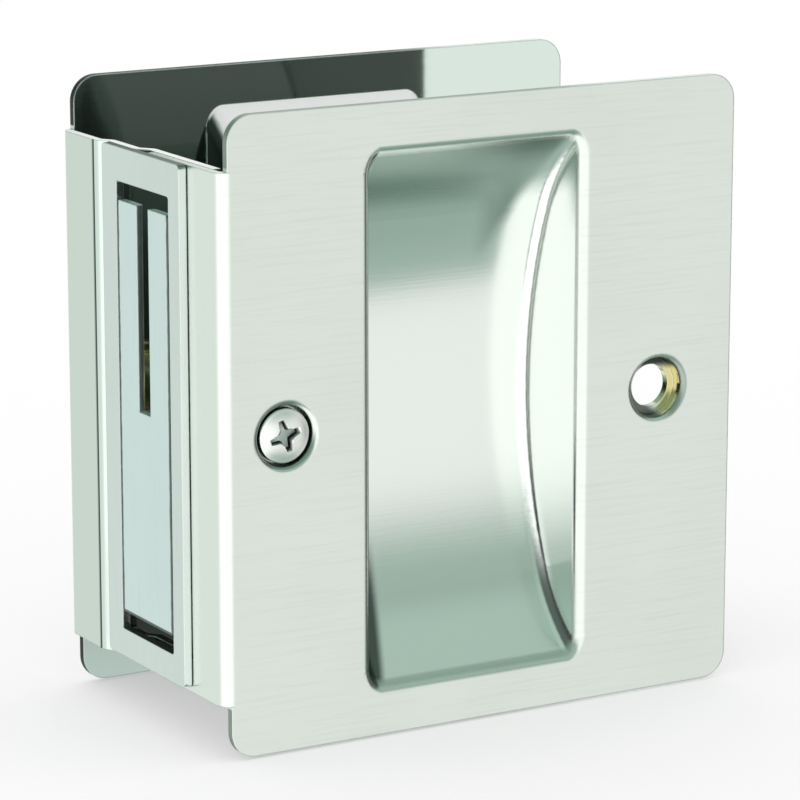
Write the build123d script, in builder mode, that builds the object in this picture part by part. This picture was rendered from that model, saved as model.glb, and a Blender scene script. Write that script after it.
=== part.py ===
# Notch-mount pocket door lock, passage type: two pressed sheet halves and a sprung edge pull.
# X runs from the door edge into the door, Y from the front half to the back half, Z up.
# The origin is under the middle of the lock, level with the plates' lower edges.
import os
from math import acos, atan2, cos, degrees, hypot, radians, sin, sqrt, tan

from build123d import *

os.makedirs("parts", exist_ok=True)

# Driving dimensions, in millimetres
sheet = 1.0
plate_width = 69.85
plate_height = 76.2
plate_corner = 3.2
plate_spacing = 36.5
slide_gap = 0.1

# Folded flanges across the door edge
flange_height = 63.2
flange_reach = 1.2
bend_outer = 1.7
tongue_length = 17.5
notch_depth = 8.2
notch_corner = 0.8
guide_end = 3.2
step_one_place = 28.6
step_two_place = 20.3
step_one_run = 1.5
step_two_run = 1.6
step_bend = 0.8

# Window plate and its window
faceplate_near = 7.6
faceplate_far = 27.5
faceplate_trim = 0.6
faceplate_corner = 0.6
window_near = 10.3
window_width = 13.45
window_height = 55.0
window_corner = 0.4
window_relief = 0.3

# Finger cups
cup_left = 18.9
cup_width = 29.0
cup_height = 65.2
cup_depth = 10.8
cup_floor_radius = 70.0
cup_blend_angle = 19.0
cup_draft = 6.0
cup_fillet = 1.6
cup_rim = 1.4

# Screw dimples, screw and posts
dimple_edge_place = 7.5
dimple_inner_place = 59.2
dimple_depth = 1.75
dimple_mouth = 3.75
dimple_floor = 3.5
dimple_rim = 0.7
dimple_ring = 5.4
screw_hole = 2.65
head_clearance = 0.2
head_crown = 0.55
head_chamfer = 0.2
shank_radius = 1.75
shank_length = 25.4
shank_chamfer = 0.4
cross_span = 3.9
cross_web = 0.95
cross_depth = 1.25
cross_taper = 20.0
cross_turn = 30.0
thread_clearance = 0.05
post_radius = 3.2
post_tip_place = 14.0
post_bore_length = 20.0
post_chamfer = 0.4
collar_radius = 4.5
collar_height = 1.0
seat_depth = 0.3
seat_fit = 0.05

# Edge pull
pull_side_gap = 0.25
pull_height = 50.5
pull_corner = 0.3
slot_width = 3.0
slot_length = 24.85
ear_below = 6.5
ear_above = 6.5
ear_root = 0.5
pivot_drop = 13.1
pivot_inset = 4.2
stop_reach = 3.15
stop_gap = 0.05
open_angle = 35.0
open_flat = 3.0
heel_height = 4.0

# Bracket, pin, ring and spring
bracket_height = 15.0
bracket_drop = 7.0
bracket_bend = 0.8
foot_length = 4.0
pin_radius = 1.25
pin_fit = 0.02
pivot_clearance = 0.05
pin_head_radius = 2.1
pin_head_height = 0.8
pin_head_chamfer = 0.35
ring_thickness = 0.5
ring_outer = 2.1
ring_mouth = 1.5
groove_radius = 0.95
groove_width = 0.56
pin_stub = 1.3
pin_tip_chamfer = 0.2
wire_radius = 0.35
coil_radius = 1.75
coil_turns = 3.0
coil_pitch = 0.85
leg_gap = 0.06
leg_drop = 6.8

# Places that follow from those sizes
outer_reach = flange_reach + slide_gap + sheet
front_y = -(plate_spacing / 2 + sheet)
back_y = plate_spacing / 2 + sheet
edge_x = outer_reach - (plate_width + outer_reach) / 2
back_edge_x = edge_x - sheet - slide_gap
middle_z = plate_height / 2
flange_low = middle_z - flange_height / 2
tongue_x = edge_x - flange_reach
faceplate_x = tongue_x - slide_gap - sheet
inner_layer_x = faceplate_x + sheet
guide_x = tongue_x + sheet + slide_gap
window_mid_y = front_y + window_near + window_width / 2
pull_width = window_width - 2 * pull_side_gap
pull_low = middle_z - pull_height / 2
pull_near_y = window_mid_y - pull_width / 2
pull_far_y = window_mid_y + pull_width / 2
pivot_x = edge_x + pivot_inset
pivot_rise = middle_z - pivot_drop
web_x = pivot_x + stop_reach + stop_gap
post_seat_y = back_y - sheet + seat_depth
reach_past = 2.0


def plate_and_cup(left_x):
    """A plate at the front of the lock with its finger cup pressed in, as one sheet."""
    start_to_center = cup_floor_radius - cup_depth
    half_height = cup_height / 2
    turn = radians(cup_blend_angle)
    lean = start_to_center * cos(turn) + half_height * sin(turn)
    end_square = start_to_center**2 + half_height**2 + cup_floor_radius**2
    end_radius = (end_square - 2 * cup_floor_radius * lean) / (2 * (cup_floor_radius - lean))
    end_out = start_to_center - (cup_floor_radius - end_radius) * cos(turn)
    end_up = (cup_floor_radius - end_radius) * sin(turn)
    right_x = left_x + cup_left + cup_width

    def cup_solid(growth):
        """The cup's space, or with growth its outer form, before the corners are rounded."""
        end_angle = degrees(acos(end_out / (end_radius + growth)))
        end_sweep = end_angle - cup_blend_angle
        end_rise = end_up + sqrt((end_radius + growth) ** 2 - end_out**2)
        wall_shift = growth / cos(radians(cup_draft))
        wall_depth = cup_depth + growth + reach_past
        wall_lean = wall_depth * tan(radians(cup_draft))
        wall_left = left_x + cup_left - wall_shift
        wall_right = right_x + wall_shift
        with BuildPart() as cup:
            with BuildSketch(Plane.YZ.offset(wall_left)):
                with BuildLine():
                    CenterArc(
                        (front_y - start_to_center, middle_z),
                        cup_floor_radius + growth,
                        -cup_blend_angle,
                        2 * cup_blend_angle,
                    )
                    CenterArc(
                        (front_y - end_out, middle_z + end_up),
                        end_radius + growth,
                        cup_blend_angle,
                        end_sweep,
                    )
                    CenterArc(
                        (front_y - end_out, middle_z - end_up),
                        end_radius + growth,
                        -end_angle,
                        end_sweep,
                    )
                    Line((front_y, middle_z - end_rise), (front_y, middle_z + end_rise))
                make_face()
            extrude(amount=wall_right - wall_left)
            with BuildSketch(Plane.XY):
                with BuildLine():
                    Polyline(
                        (wall_left, front_y),
                        (wall_right, front_y),
                        (wall_right - wall_lean, front_y + wall_depth),
                        (wall_left + wall_lean, front_y + wall_depth),
                        close=True,
                    )
                make_face()
            extrude(amount=plate_height, mode=Mode.INTERSECT)
            rounded = cup.edges().filter_by(Axis.X, reverse=True)
            rounded = rounded.filter_by_position(Axis.Y, front_y + sheet, back_y)
            fillet(rounded, cup_fillet + growth)
        return cup.part

    outer_form = cup_solid(sheet)
    inner_space = cup_solid(0)
    with BuildPart() as blank:
        with BuildSketch(Plane.XZ.offset(-front_y)):
            with Locations((left_x + plate_width / 2, middle_z)):
                RectangleRounded(plate_width, plate_height, plate_corner)
        extrude(amount=-sheet)
        add(outer_form)
        add(inner_space, mode=Mode.SUBTRACT)
        front_face = blank.faces().sort_by(Axis.Y)[0]
        fillet(front_face.inner_wires()[0].edges(), cup_rim)
    return blank.part


def fold(points, bend, height, low_z):
    """Sheet of one thickness folded along a line in plan, standing up from low_z."""
    with BuildPart() as folded:
        with BuildSketch(Plane.XY.offset(low_z)):
            with BuildLine() as middle_line:
                FilletPolyline(*points, radius=bend)
            trace(line_width=sheet)
        extrude(amount=height)
    return folded.part


# Front half: plate, cup, dimples and the flange with its two tongues
front_blank = plate_and_cup(edge_x)
front_flange = fold(
    [
        (edge_x + bend_outer + reach_past, front_y + sheet / 2),
        (tongue_x + sheet / 2, front_y + sheet / 2),
        (tongue_x + sheet / 2, front_y + tongue_length),
    ],
    bend_outer - sheet / 2,
    flange_height,
    flange_low,
)
dimple_places = [edge_x + dimple_edge_place, edge_x + dimple_inner_place]


def screw_dimple(center_x):
    """The ring of sheet pressed in round a screw hole."""
    section = Plane(origin=(center_x, front_y, middle_z), x_dir=(1, 0, 0), z_dir=(0, 0, 1))
    wall_lean = (dimple_mouth - dimple_floor) * sheet / dimple_depth
    with BuildPart() as dimple:
        with BuildSketch(section) as profile:
            with BuildLine():
                Polyline(
                    (screw_hole, dimple_depth),
                    (dimple_floor, dimple_depth),
                    (dimple_mouth, 0),
                    (dimple_ring, 0),
                    (dimple_ring, sheet),
                    (dimple_mouth + sheet - wall_lean, sheet),
                    (dimple_floor + sheet - wall_lean, dimple_depth + sheet),
                    (screw_hole, dimple_depth + sheet),
                    close=True,
                )
            make_face()
            fillet(profile.vertices().sort_by_distance((dimple_mouth, 0))[0], dimple_rim)
        revolve(axis=Axis((center_x, front_y, middle_z), (0, 1, 0)))
    return dimple.part


dimples = [screw_dimple(center_x) for center_x in dimple_places]

with BuildPart() as front_plate:
    add(front_blank)
    with BuildSketch(Plane.XZ.offset(-front_y)):
        with Locations((edge_x, flange_low)):
            Rectangle(
                2 * (bend_outer - flange_reach),
                flange_height,
                align=(Align.CENTER, Align.MIN),
            )
    extrude(amount=-sheet, mode=Mode.SUBTRACT)
    add(front_flange)
    with BuildSketch(Plane.YZ.offset(tongue_x - reach_past)):
        with Locations((front_y + notch_depth, middle_z)):
            RectangleRounded(
                2 * tongue_length,
                window_height + 2 * window_relief,
                notch_corner,
                align=(Align.MIN, Align.CENTER),
            )
    extrude(amount=sheet + 2 * reach_past, mode=Mode.SUBTRACT)
    with Locations(*[Plane.XZ.offset(-front_y) * Pos(x, middle_z) for x in dimple_places]):
        Hole(dimple_ring - sheet / 2, depth=sheet)
    add(dimples)
front_plate.part.label = "front_plate"

# Back half: plate, cup and the flange that steps in twice
back_blank = mirror(plate_and_cup(back_edge_x), about=Plane.XZ)
step_one_y = front_y + step_one_place
step_two_y = front_y + step_two_place
back_flange = fold(
    [
        (back_edge_x + bend_outer + reach_past, back_y - sheet / 2),
        (faceplate_x + sheet / 2, back_y - sheet / 2),
        (faceplate_x + sheet / 2, step_one_y + step_one_run / 2),
        (inner_layer_x + sheet / 2, step_one_y - step_one_run / 2),
        (inner_layer_x + sheet / 2, step_two_y + step_two_run / 2),
        (guide_x + sheet / 2, step_two_y - step_two_run / 2),
        (guide_x + sheet / 2, front_y + guide_end),
    ],
    step_bend,
    flange_height,
    flange_low,
)

with BuildPart() as back_plate:
    add(back_blank)
    with BuildSketch(Plane.XZ.offset(-back_y)):
        with Locations((back_edge_x, flange_low)):
            Rectangle(
                2 * (bend_outer - flange_reach),
                flange_height,
                align=(Align.CENTER, Align.MIN),
            )
    extrude(amount=sheet, mode=Mode.SUBTRACT)
    add(back_flange)
    with BuildSketch(Plane.YZ.offset(faceplate_x - reach_past)):
        with Locations((front_y + notch_depth, middle_z)):
            RectangleRounded(
                window_near + window_width + window_relief - notch_depth,
                window_height + 2 * window_relief,
                window_corner,
                align=(Align.MIN, Align.CENTER),
            )
    extrude(amount=outer_reach + 2 * reach_past, mode=Mode.SUBTRACT)
    with BuildSketch(Plane.XZ.offset(-post_seat_y)):
        with Locations(*[(x, middle_z) for x in dimple_places]):
            Circle(collar_radius + seat_fit)
    extrude(amount=seat_depth, mode=Mode.SUBTRACT)
back_plate.part.label = "back_plate"

# Window plate that lies flush in the first step
faceplate_width = faceplate_far - faceplate_near
with BuildPart() as edge_faceplate:
    with BuildSketch(Plane.YZ.offset(faceplate_x)):
        with Locations((front_y + faceplate_near + faceplate_width / 2, middle_z + faceplate_trim / 2)):
            RectangleRounded(faceplate_width, flange_height - faceplate_trim, faceplate_corner)
        with Locations((window_mid_y, middle_z)):
            RectangleRounded(window_width, window_height, window_corner, mode=Mode.SUBTRACT)
    extrude(amount=sheet)
edge_faceplate.part.label = "edge_faceplate"

# Edge pull: a casting with a slotted face and two ears behind it
ear_low = pivot_rise - ear_below
ear_high = pivot_rise + ear_above
pull_back_x = faceplate_x + sheet
stop_turn = radians(open_angle)
open_start = (pivot_x + stop_reach * cos(stop_turn), pivot_rise - stop_reach * sin(stop_turn))
open_end = (open_start[0] - open_flat * sin(stop_turn), open_start[1] - open_flat * cos(stop_turn))

with BuildPart() as edge_pull:
    with BuildSketch(Plane.YZ.offset(faceplate_x)):
        with Locations((window_mid_y, middle_z)):
            RectangleRounded(pull_width, pull_height, pull_corner)
        with Locations((window_mid_y, pull_low + pull_height)):
            Rectangle(slot_width, 2 * slot_length, mode=Mode.SUBTRACT)
    extrude(amount=sheet)
    with BuildSketch(Plane.XZ.offset(-pull_near_y), Plane.XZ.offset(sheet - pull_far_y)):
        with BuildLine():
            Polyline(
                open_end,
                (pull_back_x, ear_low),
                (pull_back_x, ear_high),
                (pivot_x + stop_reach, pivot_rise + heel_height),
                (pivot_x + stop_reach, pivot_rise),
            )
            CenterArc((pivot_x, pivot_rise), stop_reach, -open_angle, open_angle)
            Line(open_start, open_end)
        make_face()
        with Locations((pivot_x, pivot_rise)):
            Circle(pin_radius + pivot_clearance, mode=Mode.SUBTRACT)
    extrude(amount=-sheet)
    roots = edge_pull.edges().filter_by(Axis.Z).filter_by_position(Axis.X, pull_back_x, pull_back_x)
    fillet(roots.filter_by_position(Axis.Y, pull_near_y + sheet, pull_far_y - sheet), ear_root)
edge_pull.part.label = "edge_pull"

# Bracket: a folded hat whose feet lie on the back half's flange
leg_near_y = pull_near_y - pull_side_gap
leg_far_y = pull_far_y + pull_side_gap
bracket_low = pivot_rise - bracket_drop
bracket_fold = fold(
    [
        (guide_x + sheet + sheet / 2, leg_near_y - sheet - foot_length),
        (guide_x + sheet + sheet / 2, leg_near_y - sheet / 2),
        (web_x + sheet / 2, leg_near_y - sheet / 2),
        (web_x + sheet / 2, leg_far_y + sheet / 2),
        (inner_layer_x + sheet + sheet / 2, leg_far_y + sheet / 2),
        (inner_layer_x + sheet + sheet / 2, leg_far_y + sheet + foot_length - slide_gap),
    ],
    bracket_bend,
    bracket_height,
    bracket_low,
)
with BuildPart() as pull_bracket:
    add(bracket_fold)
    with BuildSketch(Plane.XZ.offset(-(leg_near_y - sheet))):
        with Locations((pivot_x, pivot_rise)):
            Circle(pin_radius + pin_fit)
    extrude(amount=-(leg_far_y - leg_near_y + 2 * sheet), mode=Mode.SUBTRACT)
pull_bracket.part.label = "pull_bracket"

# Pivot pin with its head at the back and a ring groove at the front
pin_head_y = leg_far_y + sheet
pin_tip_y = leg_near_y - sheet - pin_stub
groove_y = leg_near_y - sheet - groove_width
with BuildPart() as pull_pin:
    with BuildSketch(Plane.XZ.offset(-pin_tip_y)):
        with Locations((pivot_x, pivot_rise)):
            Circle(pin_radius)
    extrude(amount=-(pin_head_y - pin_tip_y))
    chamfer(pull_pin.edges().sort_by(Axis.Y)[0], pin_tip_chamfer)
    with BuildSketch(Plane.XZ.offset(-pin_head_y)):
        with Locations((pivot_x, pivot_rise)):
            Circle(pin_head_radius)
    extrude(amount=-pin_head_height)
    chamfer(pull_pin.edges().sort_by(Axis.Y)[-1], pin_head_chamfer)
    with BuildSketch(Plane.XZ.offset(-groove_y)):
        with Locations((pivot_x, pivot_rise)):
            Circle(pin_radius)
            Circle(groove_radius, mode=Mode.SUBTRACT)
    extrude(amount=-groove_width, mode=Mode.SUBTRACT)
pull_pin.part.label = "pull_pin"

# Retaining ring, open on one side, in the pin's groove
with BuildPart() as pin_clip:
    with BuildSketch(Plane.XZ.offset(-(leg_near_y - sheet - ring_thickness))):
        with Locations((pivot_x, pivot_rise)):
            Circle(ring_outer)
            Circle(groove_radius + pin_fit, mode=Mode.SUBTRACT)
        with Locations((pivot_x, pivot_rise + ring_outer)):
            Rectangle(ring_mouth, 2 * ring_outer, mode=Mode.SUBTRACT)
        with Locations((pivot_x, pivot_rise)):
            with PolarLocations((groove_radius + ring_outer) / 2, 2, start_angle=-30, angular_range=240):
                Circle((ring_outer - groove_radius) / 4, mode=Mode.SUBTRACT)
    extrude(amount=-ring_thickness)
pin_clip.part.label = "pin_clip"

# Torsion spring round the pin: one leg behind the pull, the other on the bracket's web
pull_leg_x = faceplate_x + sheet + wire_radius + leg_gap - pivot_x
web_leg_x = web_x - wire_radius - leg_gap - pivot_x


def leg_meets_coil(foot_x, side):
    """Angle about the pin at which a straight leg from its foot runs into the coil."""
    to_foot = degrees(atan2(-leg_drop, foot_x))
    return to_foot + side * degrees(acos(coil_radius / hypot(foot_x, leg_drop)))


coil_start = leg_meets_coil(pull_leg_x, -1) + 360
coil_end = leg_meets_coil(web_leg_x, 1)
coil_length = coil_pitch * (coil_turns + (coil_start - coil_end) / 360)
coil_front_y = window_mid_y - coil_length / 2


with BuildLine() as coil_line:
    Helix(pitch=coil_pitch, height=coil_length, radius=coil_radius, direction=(0, 1, 0))
coil = Pos(pivot_x, coil_front_y, pivot_rise) * Rot(0, 90 - coil_start, 0) * coil_line.line
pull_leg_foot = (pivot_x + pull_leg_x, coil_front_y, pivot_rise - leg_drop)
web_leg_foot = (pivot_x + web_leg_x, coil_front_y + coil_length, pivot_rise - leg_drop)

with BuildPart() as pull_spring:
    with BuildLine() as wire_path:
        Line(pull_leg_foot, coil @ 0)
        add(coil)
        Line(coil @ 1, web_leg_foot)
    with BuildSketch(wire_path.line ^ 0):
        Circle(wire_radius)
    sweep(is_frenet=True, transition=Transition.TRANSFORMED)
pull_spring.part.label = "pull_spring"


def screw_post(center_x):
    """A threaded post whose welded collar sits in a coined seat inside the back plate."""
    base = Plane(origin=(center_x, post_seat_y, middle_z), z_dir=(0, -1, 0))
    length = post_seat_y - (front_y + post_tip_place)
    with BuildPart() as post:
        with BuildSketch(base):
            Circle(collar_radius)
        extrude(amount=collar_height)
        with BuildSketch(base):
            Circle(post_radius)
        extrude(amount=length)
        chamfer(post.edges().sort_by(Axis.Y)[0], post_chamfer)
        with Locations(base.offset(length)):
            Hole(shank_radius + thread_clearance, depth=post_bore_length)
        chamfer(post.edges().group_by(Axis.Y)[0].sort_by(SortBy.RADIUS)[0], post_chamfer)
    return post.part


screw_post_edge = screw_post(dimple_places[0])
screw_post_edge.label = "screw_post_edge"
screw_post_inner = screw_post(dimple_places[1])
screw_post_inner.label = "screw_post_inner"

# Mounting screw: oval pan head with a cross recess, in the dimple nearest the door edge
head_radius = dimple_floor - head_clearance
screw_axis = Axis((dimple_places[0], front_y, middle_z), (0, 1, 0))
screw_section = Plane(origin=(dimple_places[0], front_y, middle_z), x_dir=(1, 0, 0), z_dir=(0, 0, 1))
with BuildPart() as mounting_screw:
    with BuildSketch(screw_section) as screw_profile:
        with BuildLine():
            ThreePointArc(
                (head_radius, head_crown),
                (head_radius / 2, head_crown / 4),
                (0, 0),
            )
            Polyline(
                (0, 0),
                (0, dimple_depth + shank_length),
                (shank_radius - shank_chamfer, dimple_depth + shank_length),
                (shank_radius, dimple_depth + shank_length - shank_chamfer),
                (shank_radius, dimple_depth),
                (head_radius, dimple_depth),
                (head_radius, head_crown),
            )
        make_face()
        chamfer(screw_profile.vertices().sort_by_distance((head_radius, head_crown))[0], head_chamfer)
    revolve(axis=screw_axis)
    with BuildSketch(Plane.XZ.offset(-front_y)):
        with Locations(Pos(dimple_places[0], middle_z) * Rot(0, 0, cross_turn)):
            Rectangle(cross_span, cross_web)
            Rectangle(cross_web, cross_span)
    extrude(amount=-cross_depth, taper=cross_taper, mode=Mode.SUBTRACT)
mounting_screw.part.label = "mounting_screw"

export_step(front_plate.part, "parts/front_plate.step")
export_step(back_plate.part, "parts/back_plate.step")
export_step(edge_faceplate.part, "parts/edge_faceplate.step")
export_step(edge_pull.part, "parts/edge_pull.step")
export_step(pull_bracket.part, "parts/pull_bracket.step")
export_step(pull_pin.part, "parts/pull_pin.step")
export_step(pin_clip.part, "parts/pin_clip.step")
export_step(pull_spring.part, "parts/pull_spring.step")
export_step(screw_post_edge, "parts/screw_post_edge.step")
export_step(screw_post_inner, "parts/screw_post_inner.step")
export_step(mounting_screw.part, "parts/mounting_screw.step")
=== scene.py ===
"""Dresses a passage pocket door lock: pressed satin nickel halves, an edge pull and hardware."""

import logging
import math
from dataclasses import dataclass, field
from enum import Enum
from typing import Optional, Sequence, Union

import bmesh
import bpy
from mathutils import Matrix, Vector


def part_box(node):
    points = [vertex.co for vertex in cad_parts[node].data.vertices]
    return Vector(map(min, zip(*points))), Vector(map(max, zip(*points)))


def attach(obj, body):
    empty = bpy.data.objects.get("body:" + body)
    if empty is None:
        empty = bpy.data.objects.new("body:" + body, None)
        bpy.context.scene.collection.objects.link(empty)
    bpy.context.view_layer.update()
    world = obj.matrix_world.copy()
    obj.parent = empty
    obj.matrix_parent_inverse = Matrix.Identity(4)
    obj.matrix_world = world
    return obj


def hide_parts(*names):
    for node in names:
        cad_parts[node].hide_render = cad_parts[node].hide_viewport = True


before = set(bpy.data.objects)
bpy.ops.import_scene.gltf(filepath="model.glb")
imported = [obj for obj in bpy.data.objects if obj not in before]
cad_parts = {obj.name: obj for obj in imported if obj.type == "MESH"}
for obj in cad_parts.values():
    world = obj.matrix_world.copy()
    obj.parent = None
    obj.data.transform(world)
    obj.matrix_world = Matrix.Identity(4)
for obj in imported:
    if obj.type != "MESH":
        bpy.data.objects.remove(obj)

MM = 0.001
LOG = logging.getLogger("pocket_door_lock")
# A radius below this lies on the axis of a turned shape.
ON_AXIS = 0.000001 * MM

Colour = tuple[float, float, float]
Point = tuple[float, float]
Span = tuple[float, float]
Number = Union[float, "Wire"]

WHITE: Colour = (1.0, 1.0, 1.0)


def span_mm(low: float, high: float) -> Span:
    """Turns a span in millimetres into one in metres."""
    return low * MM, high * MM


class Grain(Enum):
    """The direction that a surface was brushed in, as waves per metre along X, Y and Z."""

    ACROSS = (90.0, 90.0, 2800.0)
    UP = (2800.0, 2800.0, 90.0)
    NONE = (700.0, 700.0, 700.0)


class Side(Enum):
    """Which face of the door a half of the lock lies on, as the sign of its outward Y."""

    FRONT = -1.0
    BACK = 1.0


class Wire:
    """One output socket of a node tree, with Python's operators for its maths."""

    def __init__(self, tree: "Tree", socket: bpy.types.NodeSocket) -> None:
        """Keeps the socket and the tree that it belongs to."""
        self.tree = tree
        self.socket = socket

    def _maths(self, operation: str, *values: Number) -> "Wire":
        """Adds a Math node of one operation on this socket and the values given."""
        return self.tree.maths(operation, self, *values)

    def __add__(self, other: Number) -> "Wire":
        """Sum of two numbers."""
        return self._maths("ADD", other)

    def __radd__(self, other: Number) -> "Wire":
        """Sum with the number on the left."""
        return self.tree.maths("ADD", other, self)

    def __sub__(self, other: Number) -> "Wire":
        """Difference of two numbers."""
        return self._maths("SUBTRACT", other)

    def __rsub__(self, other: Number) -> "Wire":
        """Difference with the number on the left."""
        return self.tree.maths("SUBTRACT", other, self)

    def __mul__(self, other: Number) -> "Wire":
        """Product of two numbers."""
        return self._maths("MULTIPLY", other)

    def __rmul__(self, other: Number) -> "Wire":
        """Product with the number on the left."""
        return self.tree.maths("MULTIPLY", other, self)

    def __truediv__(self, other: Number) -> "Wire":
        """Quotient of two numbers."""
        return self._maths("DIVIDE", other)

    def __pow__(self, other: Number) -> "Wire":
        """Power of a number."""
        return self._maths("POWER", other)

    def absolute(self) -> "Wire":
        """Size of the number without its sign."""
        return self._maths("ABSOLUTE")

    def highest(self, other: Number) -> "Wire":
        """The greater of two numbers."""
        return self._maths("MAXIMUM", other)

    def lowest(self, other: Number) -> "Wire":
        """The lesser of two numbers."""
        return self._maths("MINIMUM", other)

    def ramp(self, low: float, high: float) -> "Wire":
        """A smooth step from 0 at low to 1 at high.

        Args:
            low: where the step starts.
            high: where the step ends, which may be below low.

        Returns:
            A number from 0 to 1.
        """
        settings = {"interpolation_type": "SMOOTHSTEP"}
        inputs = {"Value": self, "From Min": low, "From Max": high}
        return self.tree.output("ShaderNodeMapRange", settings, inputs)


class Tree:
    """A node tree, of a material, a world or geometry, that nodes are added to by one method."""

    def __init__(self, tree: bpy.types.NodeTree) -> None:
        """Keeps the tree."""
        self.tree = tree

    def node(
        self,
        kind: str,
        settings: Optional[dict] = None,
        inputs: Optional[dict] = None,
    ) -> bpy.types.Node:
        """Adds one node.

        Args:
            kind: the node's type.
            settings: its properties, such as a Math node's operation, set before its sockets.
            inputs: values or wires, by the socket's name or number.

        Returns:
            The new node.
        """
        made = self.tree.nodes.new(kind)
        for name, value in (settings or {}).items():
            setattr(made, name, value)
        for name, value in (inputs or {}).items():
            socket = made.inputs[name]
            if isinstance(value, Wire):
                self.tree.links.new(value.socket, socket)
            else:
                socket.default_value = value
        return made

    def output(
        self,
        kind: str,
        settings: Optional[dict] = None,
        inputs: Optional[dict] = None,
        name: Union[str, int] = 0,
    ) -> Wire:
        """Adds one node and returns one of its outputs.

        Args:
            kind: the node's type.
            settings: its properties.
            inputs: values or wires, by the socket's name or number.
            name: the output socket's name or number.

        Returns:
            The output as a wire.
        """
        return Wire(self, self.node(kind, settings, inputs).outputs[name])

    def maths(self, operation: str, *values: Number) -> Wire:
        """Adds a Math node.

        Args:
            operation: the node's operation.
            values: its inputs in order.

        Returns:
            The result.
        """
        return self.output("ShaderNodeMath", {"operation": operation}, dict(enumerate(values)))

    def blend(
        self, factor: Number, first: Union[Colour, Wire], second: Union[Colour, Wire]
    ) -> Wire:
        """Mixes two colours.

        Args:
            factor: 0 for the first, 1 for the second.
            first: a colour or a wire that carries one.
            second: the other colour.

        Returns:
            The mixed colour.
        """
        colours = [c if isinstance(c, Wire) else (*c, 1.0) for c in (first, second)]
        inputs = {"Factor": factor, 6: colours[0], 7: colours[1]}
        return self.output("ShaderNodeMix", {"data_type": "RGBA"}, inputs, 2)

    def object_point(self) -> Wire:
        """The point's place in the row frame, in metres."""
        return self.output("ShaderNodeTexCoord", name="Object")

    def parts(self, vector: Wire) -> tuple[Wire, Wire, Wire]:
        """The three numbers of a vector."""
        made = self.node("ShaderNodeSeparateXYZ", inputs={0: vector})
        return tuple(Wire(self, made.outputs[k]) for k in range(3))

    def vector(
        self, operation: str, first: Wire, second: Union[Wire, tuple], name: str = "Vector"
    ) -> Wire:
        """Adds a Vector Math node.

        Args:
            operation: the node's operation.
            first: its first vector.
            second: its second vector.
            name: the output wanted, "Vector" or "Value".

        Returns:
            The result.
        """
        inputs = {0: first, 1: second}
        return self.output("ShaderNodeVectorMath", {"operation": operation}, inputs, name)

    def noise(
        self, vector: Wire, scale: float, detail: float = 2.0, roughness: float = 0.5
    ) -> Wire:
        """A noise number round 0.5.

        Args:
            vector: where the noise is read.
            scale: waves per unit of the vector.
            detail: octaves.
            roughness: how strong the finer octaves are.

        Returns:
            The noise, from 0 to 1.
        """
        inputs = {"Vector": vector, "Scale": scale, "Detail": detail, "Roughness": roughness}
        return self.output("ShaderNodeTexNoise", None, inputs, "Fac")


@dataclass(frozen=True)
class Coating:
    """What one area of a surface shows.

    Attributes:
        colour: its colour, as red, green and blue light.
        roughness: its roughness.
        metallic: 1 for metal, 0 for colour that isn't metal, as in the painted shade of the front
            half's inner side and the back cup's painted highlight.
    """

    colour: Colour
    roughness: float
    metallic: float = 1.0


@dataclass
class Layers:
    """The wires of a surface while its areas are laid one over another.

    Attributes:
        tree: the material's tree.
        colour: the colour so far.
        roughness: the roughness so far.
        metallic: how metallic it is so far.
    """

    tree: Tree
    colour: Wire
    roughness: Wire
    metallic: Number

    def lay(self, mask: Wire, coating: Coating) -> None:
        """Lays a coating over the area of a mask.

        Args:
            mask: 1 where the coating shows.
            coating: the colour, roughness and metal of the area.
        """
        self.colour = self.tree.blend(mask, self.colour, coating.colour)
        self.roughness = self.roughness + mask * (coating.roughness - self.roughness)
        self.metallic = self.metallic + mask * (coating.metallic - self.metallic)


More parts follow.
